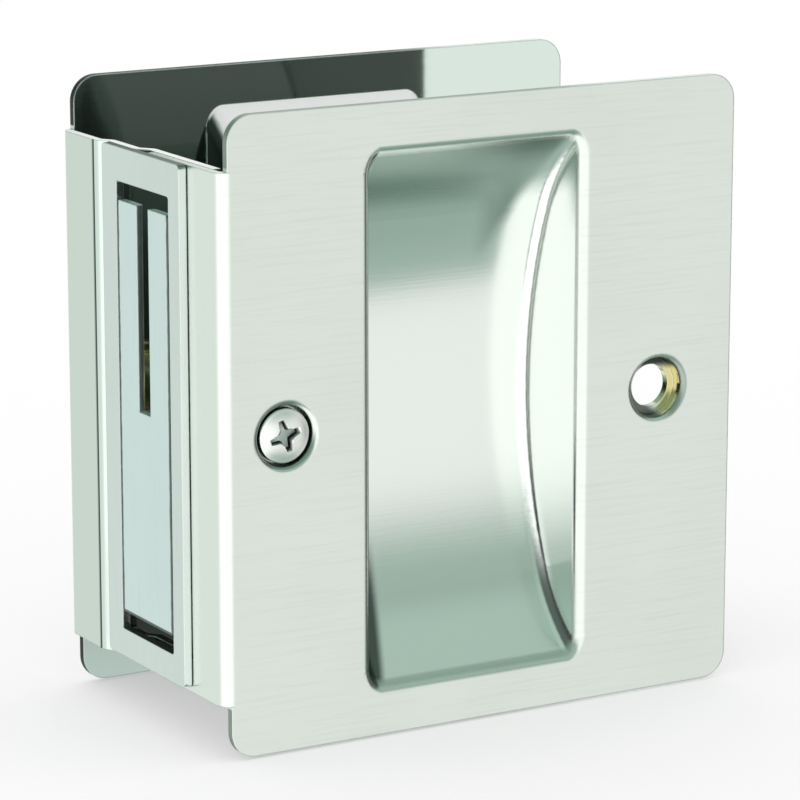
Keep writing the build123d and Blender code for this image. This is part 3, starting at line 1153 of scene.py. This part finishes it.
@dataclass
class Thread:
    """A helical thread about an axis along Y, made by Geometry Nodes.

    Attributes:
        radius: where the middle of its ridge runs.
        height: the ridge's half height.
        pitch: from turn to turn.
        start: the axis's point where it starts.
        length: how far it runs towards +Y.
        steps: points in a turn.
    """

    radius: float
    height: float
    pitch: float
    start: Vector
    length: float
    steps: int = 40

    def make(self, name: str, material: bpy.types.Material) -> bpy.types.Object:
        """Builds the thread.

        Args:
            name: the piece's name.
            material: what it is made of.

        Returns:
            The new piece.
        """
        sizes = {
            "Turns": self.length / self.pitch,
            "Radius": self.radius,
            "Length": self.length,
            "Ridge": self.height,
        }
        recipe = Recipe("thread_recipe", sizes, {"Steps": self.steps})
        tree = recipe.tree
        spiral_inputs = {
            "Resolution": recipe.size("Steps"),
            "Rotations": recipe.size("Turns"),
            "Start Radius": recipe.size("Radius"),
            "End Radius": recipe.size("Radius"),
            "Height": recipe.size("Length"),
        }
        spiral = tree.output("GeometryNodeCurveSpiral", None, spiral_inputs)
        upright = tree.output("GeometryNodeSetCurveNormal", {"mode": "Z_UP"}, {0: spiral})
        profile_inputs = {"Resolution": 4, "Radius": recipe.size("Ridge")}
        profile = tree.output("GeometryNodeCurvePrimitiveCircle", None, profile_inputs)
        ridge_inputs = {0: upright, "Profile Curve": profile, "Fill Caps": True}
        ridge = tree.output("GeometryNodeCurveToMesh", None, ridge_inputs)
        place = {
            0: ridge,
            "Translation": tuple(self.start),
            "Rotation": (math.radians(-90.0), 0.0, 0.0),
        }
        recipe.finish(tree.output("GeometryNodeTransform", None, place), material)
        return recipe.run(name)


def lathe(name: str, profile: Sequence[Point], centre: Vector, steps: int = 96) -> bpy.types.Object:
    """A closed turned shape about an axis along Y.

    Args:
        name: the piece's name.
        profile: radius and distance along Y from the centre, from one end on the axis to the
            other, in metres.
        centre: the axis's point that the distances are measured from.
        steps: facets round the axis.

    Returns:
        The new piece.
    """
    mesh = bmesh.new()
    rings: list[list[bmesh.types.BMVert]] = []
    for radius, along in profile:
        if radius < ON_AXIS:
            rings.append([mesh.verts.new((centre.x, centre.y + along, centre.z))])
            continue
        ring = []
        for step in range(steps):
            angle = 2 * math.pi * step / steps
            x, z = centre.x + radius * math.cos(angle), centre.z + radius * math.sin(angle)
            ring.append(mesh.verts.new((x, centre.y + along, z)))
        rings.append(ring)
    for first, second in zip(rings, rings[1:]):
        for step in range(steps):
            after = (step + 1) % steps
            around = ((first, step), (first, after), (second, after), (second, step))
            corners = [ring[place % len(ring)] for ring, place in around]
            mesh.faces.new(list(dict.fromkeys(corners)))
    bmesh.ops.recalc_face_normals(mesh, faces=mesh.faces)
    return finish_mesh(name, mesh, smooth_angle=28.0)


def finish_mesh(name: str, mesh: bmesh.types.BMesh, smooth_angle: float) -> bpy.types.Object:
    """Turns a bmesh into a linked object with smooth faces and sharp corners.

    Args:
        name: the piece's name.
        mesh: the faces, which are freed.
        smooth_angle: corners sharper than this stay sharp, in degrees.

    Returns:
        The new piece.
    """
    limit = math.radians(smooth_angle)
    for face in mesh.faces:
        face.smooth = True
    for edge in mesh.edges:
        edge.smooth = not (len(edge.link_faces) == 2 and edge.calc_face_angle() > limit)
    data = bpy.data.meshes.new(name)
    mesh.to_mesh(data)
    mesh.free()
    piece = bpy.data.objects.new(name, data)
    bpy.context.scene.collection.objects.link(piece)
    return piece


def carve(piece: bpy.types.Object, cutter: bpy.types.Object) -> None:
    """Cuts a piece with another.

    Args:
        piece: what is cut, which keeps a plain mesh and no modifier.
        cutter: the shape that is taken away, which is deleted.
    """
    cut = piece.modifiers.new("cut", "BOOLEAN")
    cut.operation = "DIFFERENCE"
    cut.solver = "EXACT"
    cut.object = cutter
    bpy.context.view_layer.update()
    evaluated = piece.evaluated_get(bpy.context.evaluated_depsgraph_get())
    piece.data = bpy.data.meshes.new_from_object(evaluated)
    piece.modifiers.clear()
    bpy.data.objects.remove(cutter)


def join_pieces(pieces: Sequence[bpy.types.Object]) -> bpy.types.Object:
    """Joins pieces into the first of them and returns it."""
    with bpy.context.temp_override(active_object=pieces[0], selected_editable_objects=list(pieces)):
        bpy.ops.object.join()
    return pieces[0]


def wear(piece: bpy.types.Object, material: bpy.types.Material) -> None:
    """Gives a piece one material."""
    piece.data.materials.clear()
    piece.data.materials.append(material)


@dataclass(frozen=True)
class RecessedHead(BrushedMetal):
    """The finish of the screw: bright head, with painted shade on the recess walls and a lighter
    painted shade on the recess floor.

    Attributes:
        centre: the middle of the head's face.
        reach: how far from the middle the recess ends.
        deepest: how far below the face the recess ends.
        floor_depth: how far below the face its floor starts.
        wall_facing: how far its walls may face the front.
        walls: the painted shade on the recess's walls.
        floor: the lighter painted shade on its floor.
    """

    centre: Vector = field(default_factory=Vector)
    reach: Span = span_mm(2.3, 2.2)
    deepest: Span = span_mm(1.7, 1.6)
    floor_depth: Span = span_mm(0.4, 0.6)
    wall_facing: Span = (-0.9, -0.75)
    # Painted shade in the cross recess: near black on its walls, lighter on its floor.
    walls: Coating = Coating((0.05, 0.062, 0.055), 0.4)
    floor: Coating = Coating((0.45, 0.53, 0.49), 0.35)

    def areas(self, layers: Layers, point: Wire) -> None:
        """Lays painted shade on the recess's floor and walls over the bright head.

        Args:
            layers: the surface so far.
            point: the point's place.
        """
        tree = layers.tree
        x, y, z = tree.parts(point)
        _, facing_y, _ = tree.parts(tree.output("ShaderNodeTexCoord", name="Normal"))
        across, depth, up = x - self.centre.x, y - self.centre.y, z - self.centre.z
        radius = (across * across + up * up) ** 0.5
        near = radius.ramp(*self.reach) * depth.ramp(*self.deepest)
        # Painted shade in the recess, lighter on its floor and near black on its walls.
        layers.lay(near * depth.ramp(*self.floor_depth), self.floor)
        layers.lay(near * facing_y.ramp(*self.wall_facing), self.walls)


@dataclass
class CrossScrew:
    """The mounting screw: oval pan head with a cross recess, turned shank and rolled thread.

    Attributes:
        head_radius: the head's radius.
        head_crown: how far the rim of the head lies below its middle.
        crown_share: share of that fall that lies inside the rim's rounding.
        crown_reach: share of the head's radius inside the rim's rounding.
        head_height: from the middle of the head to its underside.
        rim_radius: how far the head's rounding falls.
        under_edge: chamfer of the head's lower edge.
        neck: fillet under the head, as pairs of radius over the shank's and distance below.
        shank_radius: the shank's root radius under the thread.
        tip_length: length of the chamfer at the tip.
        tip_taper: how much narrower the tip is.
        plain_length: shank below the head that has no thread.
        thread_height: half height of the thread's ridge.
        thread_pitch: from turn to turn.
        thread_lift: how far over the root the ridge's middle runs.
        thread_short: from the thread's end to the tip.
        arm_reach: from the middle of the recess to an arm's end.
        arm_width: half the width of an arm.
        arm_tip: width of an arm's end as a share of its width.
        arm_fillet: radius between two arms.
        recess_depth: depth of the recess.
        recess_above: how far the cutter stands out of the head.
        recess_point: depth of the point in the recess's floor.
        recess_floor: size of the recess's floor as a share of its mouth.
        turn: how far the cross is turned, in degrees.
    """

    head_radius: float = 3.3 * MM
    head_crown: float = 0.55 * MM
    crown_share: float = 0.8
    crown_reach: float = 0.93
    head_height: float = 1.75 * MM
    rim_radius: float = 0.22 * MM
    under_edge: float = 0.1 * MM
    neck: tuple[Point, ...] = (span_mm(0.25, 0.0), span_mm(0.05, 0.2), span_mm(0.0, 0.5))
    shank_radius: float = 1.55 * MM
    tip_length: float = 0.5 * MM
    tip_taper: float = 0.45 * MM
    plain_length: float = 3.0 * MM
    thread_height: float = 0.16 * MM
    thread_pitch: float = 0.8 * MM
    thread_lift: float = 0.02 * MM
    thread_short: float = 0.7 * MM
    arm_reach: float = 2.05 * MM
    arm_width: float = 0.5 * MM
    arm_tip: float = 0.72
    arm_fillet: float = 0.55 * MM
    recess_depth: float = 1.0 * MM
    recess_above: float = 0.3 * MM
    recess_point: float = 0.08 * MM
    recess_floor: float = 0.78
    turn: float = 17.0

    def _profile(self, length: float) -> list[Point]:
        """The screw's outline from the middle of its head to its tip.

        Args:
            length: the whole screw's length.

        Returns:
            Radius and distance from the middle of the head's face.
        """
        crown, points = self.head_crown, [(0.0, 0.0)]
        for k in range(1, 11):
            reach = self.head_radius * k / 10 * self.crown_reach
            points.append((reach, crown * (k / 10) ** 2 * self.crown_share))
        inside, rounding = self.head_radius * self.crown_reach, 1.0 - self.crown_reach
        for k in range(1, 5):
            angle = math.radians(90 * k / 4)
            reach = inside + self.head_radius * rounding * math.sin(angle)
            fall = self.rim_radius * (1 - math.cos(angle))
            points.append((reach, crown * self.crown_share + fall))
        points += [
            (self.head_radius, self.head_height - self.under_edge),
            (self.head_radius - self.under_edge, self.head_height),
        ]
        points += [(self.shank_radius + out, self.head_height + down) for out, down in self.neck]
        return points + [
            (self.shank_radius, length - self.tip_length),
            (self.shank_radius - self.tip_taper, length),
            (0.0, length),
        ]

    def _cross(self) -> list[Point]:
        """The recess's outline, with rounded corners between the arms.

        Returns:
            Its points to the right and up from the middle of the head.
        """
        points = []
        for quarter in range(4):
            angle = math.radians(90 * quarter + self.turn)
            corner = self.arm_width + self.arm_fillet
            tip = self.arm_width * self.arm_tip
            local = [(self.arm_reach, -tip), (self.arm_reach, tip)]
            for k in range(7):
                sweep = math.radians(270 - 90 * k / 6)
                along = corner + self.arm_fillet * math.cos(sweep)
                local.append((along, corner + self.arm_fillet * math.sin(sweep)))
            turned = Matrix.Rotation(angle, 2)
            points += [tuple(turned @ Vector(place)) for place in local]
        return points

    def _recess(self, centre: Vector) -> bpy.types.Object:
        """The cutter of the recess: the cross narrowing towards its floor, with a point below.

        Args:
            centre: the middle of the head's face.

        Returns:
            The cutter.
        """
        mesh = bmesh.new()
        outline = self._cross()
        slope = (1 - self.recess_floor) / self.recess_depth
        rings = []
        for along in (-self.recess_above, self.recess_depth):
            share, y = 1 - slope * along, centre.y + along
            places = [(centre.x + a * share, y, centre.z + b * share) for a, b in outline]
            rings.append([mesh.verts.new(place) for place in places])
        lowest = centre.y + self.recess_depth + self.recess_point
        tip = mesh.verts.new((centre.x, lowest, centre.z))
        count = len(outline)
        for k in range(count):
            after = (k + 1) % count
            mesh.faces.new([rings[0][k], rings[0][after], rings[1][after], rings[1][k]])
            mesh.faces.new([rings[1][k], rings[1][after], tip])
        mesh.faces.new(list(reversed(rings[0])))
        bmesh.ops.recalc_face_normals(mesh, faces=mesh.faces)
        return finish_mesh("recess_cutter", mesh, smooth_angle=40.0)

    def build(self) -> bpy.types.Object:
        """Builds the screw where its solid lies.

        Returns:
            The new piece.
        """
        low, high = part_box("mounting_screw")
        centre = Vector(((low.x + high.x) / 2, low.y, (low.z + high.z) / 2))
        length = high.y - low.y
        finish = RecessedHead(
            name="screw_nickel",
            base=Coating((0.88, 0.90, 0.87), 0.26),
            deep=(0.78, 0.80, 0.76),
            grain=Grain.NONE,
            grain_depth=0.000002,
            edge_radius=0.1 * MM,
            crevice=0.92,
            crevice_reach=0.7 * MM,
            centre=centre,
        )
        material = finish.material()
        screw = lathe("mounting_screw_finished", self._profile(length), centre)
        carve(screw, self._recess(centre))
        wear(screw, material)
        start = centre + Vector((0.0, self.head_height + self.plain_length, 0.0))
        thread = Thread(
            radius=self.shank_radius + self.thread_lift,
            height=self.thread_height,
            pitch=self.thread_pitch,
            start=start,
            length=length - self.head_height - self.plain_length - self.thread_short,
        )
        screw = join_pieces([screw, thread.make("screw_thread", material)])
        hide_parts("mounting_screw")
        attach(screw, "front_half")
        return screw


@dataclass
class ThreadedPost:
    """A post on the back plate: a turned barrel with a welded collar and a threaded bore.

    Attributes:
        node: the solid that it stands for.
        barrel_radius: the barrel's radius.
        collar_radius: the collar's radius.
        collar_height: the collar's thickness.
        bore_radius: the bore's radius at the thread's roots.
        bore_length: the bore's depth.
        bore_mouth: chamfer of the bore's mouth.
        bore_point: depth of the cone that the drill left.
        edge: rounding of the tip's outer edge.
        edge_share: share of that rounding at its middle.
        groove_start: from the tip to the ring groove.
        groove_depth: depth of the ring groove, and length of each of its slopes.
        groove_floor: length of its floor.
        weld: fillet of the weld at the collar, as pairs of radius over the barrel's and
            distance above the collar.
        collar_edge: chamfer of the collar.
        thread_height: half height of the thread's ridge.
        thread_pitch: from turn to turn.
        thread_lift: how far outside the bore's wall the ridge's middle runs.
        thread_start: from each end of the bore to the thread.
    """

    node: str
    barrel_radius: float = 3.2 * MM
    collar_radius: float = 4.5 * MM
    collar_height: float = 1.0 * MM
    bore_radius: float = 1.8 * MM
    bore_length: float = 20.0 * MM
    bore_mouth: float = 0.4 * MM
    bore_point: float = 0.5 * MM
    edge: float = 0.3 * MM
    edge_share: float = 0.3
    groove_start: float = 1.6 * MM
    groove_depth: float = 0.25 * MM
    groove_floor: float = 0.5 * MM
    weld: tuple[Point, ...] = (span_mm(0.0, 0.35), span_mm(0.15, 0.1), span_mm(0.4, 0.0))
    collar_edge: float = 0.2 * MM
    thread_height: float = 0.13 * MM
    thread_pitch: float = 0.8 * MM
    thread_lift: float = 0.02 * MM
    thread_start: float = 0.6 * MM

    def _profile(self, length: float) -> list[Point]:
        """The post's outline from the floor of its bore, round its tip, to the collar's base.

        Args:
            length: the whole post's length.

        Returns:
            Radius and distance from the middle of the tip.
        """
        barrel, middle = self.barrel_radius, self.edge * self.edge_share
        neck, groove = barrel - self.groove_depth, self.groove_start + self.groove_depth
        collar = length - self.collar_height
        return [
            (0.0, self.bore_length + self.bore_point),
            (self.bore_radius, self.bore_length),
            (self.bore_radius, self.bore_mouth),
            (self.bore_radius + self.bore_mouth, 0.0),
            (barrel - self.edge, 0.0),
            (barrel - middle, middle),
            (barrel, self.edge),
            (barrel, self.groove_start),
            (neck, groove),
            (neck, groove + self.groove_floor),
            (barrel, groove + self.groove_floor + self.groove_depth),
            *((barrel + out, collar - above) for out, above in self.weld),
            (self.collar_radius - self.collar_edge, collar),
            (self.collar_radius, collar + self.collar_edge),
            (self.collar_radius, length),
            (0.0, length),
        ]

    def build(self, material: bpy.types.Material) -> bpy.types.Object:
        """Builds the post where its solid lies.

        Args:
            material: what it is made of.

        Returns:
            The new piece.
        """
        low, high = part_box(self.node)
        centre = Vector(((low.x + high.x) / 2, low.y, (low.z + high.z) / 2))
        post = lathe(self.node + "_finished", self._profile(high.y - low.y), centre, steps=72)
        wear(post, material)
        thread = Thread(
            radius=self.bore_radius + self.thread_lift,
            height=self.thread_height,
            pitch=self.thread_pitch,
            start=centre + Vector((0.0, self.thread_start, 0.0)),
            length=self.bore_length - 2 * self.thread_start,
            steps=32,
        )
        post = join_pieces([post, thread.make(self.node + "_thread", material)])
        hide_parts(self.node)
        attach(post, "back_half")
        return post


@dataclass(frozen=True)
class Surround:
    """The soft room that the metal mirrors: a pale band, graded dark below and above it.

    Directions run right, to the back and up from the lock, each from -1 to 1. A span runs from
    where a part isn't seen to where it is seen whole.

    Attributes:
        band: what lies level with the lock.
        left_behind: what lies level, behind and to the left.
        low_far: what lies steeply below in front.
        low_near: what lies below in front.
        high_near: what lies above the band.
        high_far: what lies higher above.
        lamp: the soft lamp in front, to the left.
        right_side: what lies at the far right.
        diagonal: right times back, below 0 in front to the right and behind to the left, which
            is where the dark parts lie.
        ahead: where the front starts, for the dark above.
        behind: where the back starts, for what lies behind to the left.
        leftwards: where the left starts, for the same.
        lamp_x: the lamp's right bound.
        lamp_y: its bound towards the back.
        lamp_z: its upper bound.
        low_edge: where the band ends below.
        low_fade: where the dark below turns from near to far.
        high_edge: where the band ends above.
        high_fade: where the dark above turns from near to far.
        right_edge: where the far right starts.
    """

    band: Colour = (0.935, 0.945, 0.935)
    left_behind: Colour = (0.82, 0.875, 0.845)
    low_far: Colour = (0.235, 0.34, 0.295)
    low_near: Colour = (0.34, 0.46, 0.405)
    high_near: Colour = (0.35, 0.465, 0.405)
    high_far: Colour = (0.425, 0.565, 0.50)
    lamp: Colour = (1.3, 1.3, 1.3)
    right_side: Colour = (0.09, 0.12, 0.105)
    diagonal: Span = (0.03, -0.05)
    ahead: Span = (-0.02, -0.15)
    behind: Span = (0.1, 0.4)
    leftwards: Span = (0.1, -0.2)
    lamp_x: Span = (0.34, 0.08)
    lamp_y: Span = (0.12, -0.12)
    lamp_z: Span = (0.5, 0.28)
    low_edge: Span = (-0.485, -0.535)
    low_fade: Span = (-0.58, -0.88)
    high_edge: Span = (0.0, 0.26)
    high_fade: Span = (0.3, 0.62)
    right_edge: Span = (0.72, 0.9)

    def colour(self, tree: Tree, direction: Wire) -> Wire:
        """Works out the colour that lies in a direction.

        Args:
            tree: the world's tree.
            direction: the direction looked in.

        Returns:
            The colour wire.
        """
        across, along, height = tree.parts(direction)
        dark = (across * along).ramp(*self.diagonal)
        behind_left = along.ramp(*self.behind) * across.ramp(*self.leftwards)
        colour = tree.blend(behind_left, self.band, self.left_behind)
        lamp = across.ramp(*self.lamp_x) * along.ramp(*self.lamp_y) * height.ramp(*self.lamp_z)
        colour = tree.blend(lamp, colour, self.lamp)
        low = tree.blend(height.ramp(*self.low_fade), self.low_near, self.low_far)
        colour = tree.blend(height.ramp(*self.low_edge) * dark, colour, low)
        high = tree.blend(height.ramp(*self.high_fade), self.high_near, self.high_far)
        above = height.ramp(*self.high_edge) * dark.highest(along.ramp(*self.ahead))
        colour = tree.blend(above, colour, high)
        return tree.blend(across.ramp(*self.right_edge), colour, self.right_side)


@dataclass
class Studio:
    """The pale floor, the soft surround and the camera at the photograph's viewing angle.

    Attributes:
        surround: what the metal mirrors.
        azimuth: the camera's turn about the lock, in degrees.
        elevation: the camera's height above the horizon, in degrees.
        lens: focal length in millimetres.
        distance: from the camera to the middle of the lock, in metres.
        aim_right: how far the aim lies right of the middle, in metres.
        aim_up: how far the aim lies above the middle, in metres.
        floor_size: the floor's width, in metres.
        floor_glow: how much of the floor's look is its own white.
        floor_drop: how far the floor lies below the lock, in metres.
    """

    azimuth: float = -30.31
    elevation: float = 12.8
    lens: float = 178.2
    distance: float = 489.0 * MM
    aim_right: float = -0.82 * MM
    aim_up: float = -2.47 * MM
    floor_size: float = 6.0
    floor_glow: float = 0.45
    floor_drop: float = 0.3 * MM
    surround: Surround = Surround()

    def camera(self) -> None:
        """Makes the camera, aimed at the middle of the front plate and half the depth."""
        low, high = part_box("front_plate")
        middle_x = high.x - PressedHalves.plate_width / 2
        centre = Vector((middle_x, 0.0, (low.z + high.z) / 2))
        turn, tilt = math.radians(self.azimuth), math.radians(self.elevation)
        level = math.cos(tilt)
        back = Vector((math.sin(turn) * level, -math.cos(turn) * level, math.sin(tilt)))
        right = Vector((math.cos(turn), math.sin(turn), 0.0))
        up = back.cross(right)
        data = bpy.data.cameras.new("photo_camera")
        data.lens = self.lens
        data.sensor_width = 36.0
        data.clip_start = 0.01
        data.clip_end = 20.0
        camera = bpy.data.objects.new("photo_camera", data)
        camera.location = centre + back * self.distance + right * self.aim_right + up * self.aim_up
        camera.rotation_mode = "QUATERNION"
        camera.rotation_quaternion = Matrix((right, up, back)).transposed().to_quaternion()
        bpy.context.scene.collection.objects.link(camera)
        bpy.context.scene.camera = camera

    def world(self) -> None:
        """Makes the surround: white for what is seen and lit, graded for what metal mirrors."""
        world = bpy.data.worlds.new("studio")
        world.use_nodes = True
        world.node_tree.nodes.clear()
        tree = Tree(world.node_tree)
        direction = tree.output("ShaderNodeTexCoord", name="Generated")
        mirrored = self.surround.colour(tree, direction)
        glossy = tree.output("ShaderNodeLightPath", name="Is Glossy Ray")
        light = {"Color": tree.blend(glossy, WHITE, mirrored), "Strength": 1.0}
        background = tree.output("ShaderNodeBackground", None, light)
        tree.node("ShaderNodeOutputWorld", inputs={"Surface": background})
        bpy.context.scene.world = world

    def floor(self) -> None:
        """Makes the pale floor, which keeps a soft shadow and isn't mirrored."""
        mesh = bmesh.new()
        bmesh.ops.create_grid(mesh, x_segments=1, y_segments=1, size=self.floor_size / 2)
        floor = finish_mesh("studio_floor", mesh, smooth_angle=30.0)
        material = bpy.data.materials.new("pale_floor")
        material.use_nodes = True
        material.node_tree.nodes.clear()
        tree = Tree(material.node_tree)
        white = (*WHITE, 1.0)
        matt = tree.output("ShaderNodeBsdfDiffuse", None, {"Color": white})
        glow = tree.output("ShaderNodeEmission", None, {"Color": white, "Strength": 1.0})
        seen = tree.output("ShaderNodeLightPath", name="Is Camera Ray")
        mix = {0: seen * self.floor_glow, 1: matt, 2: glow}
        surface = tree.output("ShaderNodeMixShader", None, mix)
        tree.node("ShaderNodeOutputMaterial", inputs={"Surface": surface})
        wear(floor, material)
        floor.location.z = -self.floor_drop
        floor.visible_glossy = False

    def build(self) -> None:
        """Builds the whole studio."""
        bpy.context.scene.view_settings.view_transform = "Standard"
        self.camera()
        self.world()
        self.floor()


# The materials made so far, by their finish's name, so that each is made once.
FINISHED: dict[str, bpy.types.Material] = {}


def dress_node(name: str, finish: BrushedMetal) -> None:
    """Gives a carried-over solid its finish and reports it.

    Args:
        name: the CAD node.
        finish: the finish, whose material is made once.
    """
    if finish.name not in FINISHED:
        FINISHED[finish.name] = finish.material()
    wear(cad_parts[name], FINISHED[finish.name])
    LOG.info("%s: %s", name, finish.name)


def report(piece: bpy.types.Object) -> None:
    """Logs a built piece and its faces."""
    LOG.info("%s: %d faces", piece.name, len(piece.data.polygons))


def main() -> None:
    """Builds the studio, the halves, the pull and the hardware."""
    logging.basicConfig(level=logging.INFO, format="%(message)s")
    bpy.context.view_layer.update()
    Studio().build()
    PressedHalves().dress()
    PullMechanism().dress()
    report(CrossScrew().build())
    brass = POST_BRASS.material()
    for node in ("screw_post_edge", "screw_post_inner"):
        report(ThreadedPost(node).build(brass))


if __name__ == "__main__":
    main()
